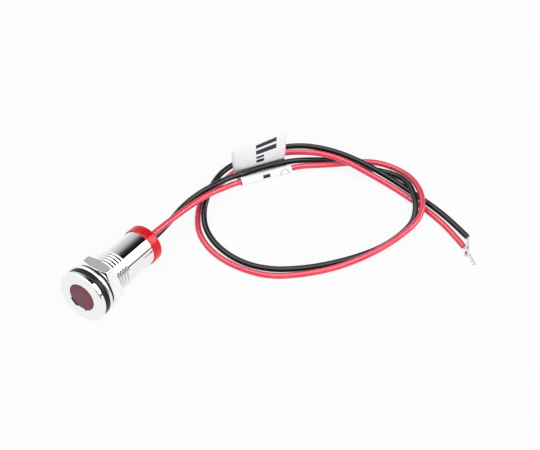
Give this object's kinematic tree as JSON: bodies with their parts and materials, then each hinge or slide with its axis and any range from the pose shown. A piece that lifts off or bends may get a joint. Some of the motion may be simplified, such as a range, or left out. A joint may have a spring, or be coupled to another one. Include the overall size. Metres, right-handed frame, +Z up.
{
  "type": "panel mount indicator light",
  "caption": "Metal panel indicator lamp with a flush round lens, hexagon nut, washer and two rubber seals on a fine thread, a red rear cap and two looped flying leads with bare ends.",
  "frame": {"origin": "on the floor under the middle of the lamp's body, the leads and what is on them left out", "axes": "+Y from the front face to the rear cap in plan, +Z up; the lamp lies on its washer and its rear cap, so its own axis dips 5 degrees towards +Y"},
  "size_m": [0.0601, 0.0687, 0.0108],
  "materials": {
    "plated_brass": "bright nickel plate",
    "plated_steel": "bright nickel plate",
    "tinted_lens": "smooth, tinted plum red",
    "led_epoxy": "clear red epoxy",
    "white_nylon": "moulded",
    "resistor_lacquer": "lacquered",
    "tinned_wire": "tinned copper",
    "solder": "dull bright",
    "shrink_sleeve": "shrunk, satin",
    "potting_resin": "cast resin",
    "red_cap": "glossy, slightly translucent",
    "seal_rubber": "satin",
    "red_insulation": "smooth PVC",
    "black_insulation": "smooth PVC",
    "label_film": "printed polyester film"
  },
  "bodies": {
    "root": {"bezel_body": "plated_brass", "lens": "tinted_lens", "led_body": "led_epoxy", "anode_leg": "tinned_wire", "cathode_leg": "tinned_wire", "led_bush": "white_nylon", "resistor_body": "resistor_lacquer", "resistor_lead_front": "tinned_wire", "resistor_lead_rear": "tinned_wire", "solder_anode": "solder", "solder_red": "solder", "solder_black": "solder", "anode_sleeve": "shrink_sleeve", "cathode_sleeve": "shrink_sleeve", "potting": "potting_resin", "end_cap": "red_cap", "panel_seal": "seal_rubber", "lock_washer": "plated_steel", "nut_seal": "seal_rubber", "hex_nut": "plated_steel", "red_lead": "red_insulation", "black_lead": "black_insulation", "red_strands": "tinned_wire", "black_strands": "tinned_wire", "flag_label": "label_film"}
  },
  "joints": []
}
